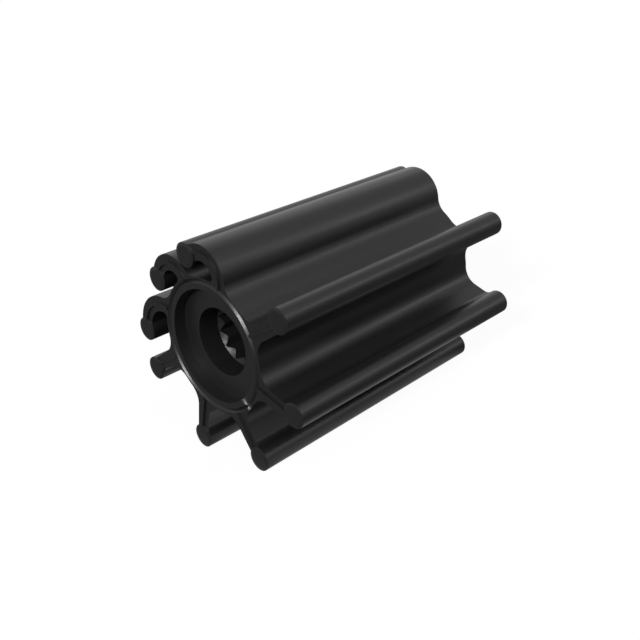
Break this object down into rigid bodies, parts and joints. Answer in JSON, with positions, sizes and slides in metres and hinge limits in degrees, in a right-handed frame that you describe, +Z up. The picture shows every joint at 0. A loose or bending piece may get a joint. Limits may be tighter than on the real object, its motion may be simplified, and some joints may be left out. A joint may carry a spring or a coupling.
{
  "type": "rubber pump impeller",
  "caption": "Black rubber pump impeller with long bead-tipped vanes, some curled over on one side, moulded round a hard hub that has a recessed, splined bore.",
  "frame": {"origin": "on the bore's axis, half way along the impeller", "axes": "+Y along the bore's axis, from the end that the picture shows to the far end; +Z up as it lies at rest on two vane tips; +X to the right when the shown end is looked at"},
  "size_m": [0.0605, 0.078, 0.0559],
  "materials": {
    "rubber_body": "satin",
    "hub_insert": "satin"
  },
  "bodies": {
    "root": {"rubber_body": "rubber_body", "hub_insert": "hub_insert"}
  },
  "joints": []
}
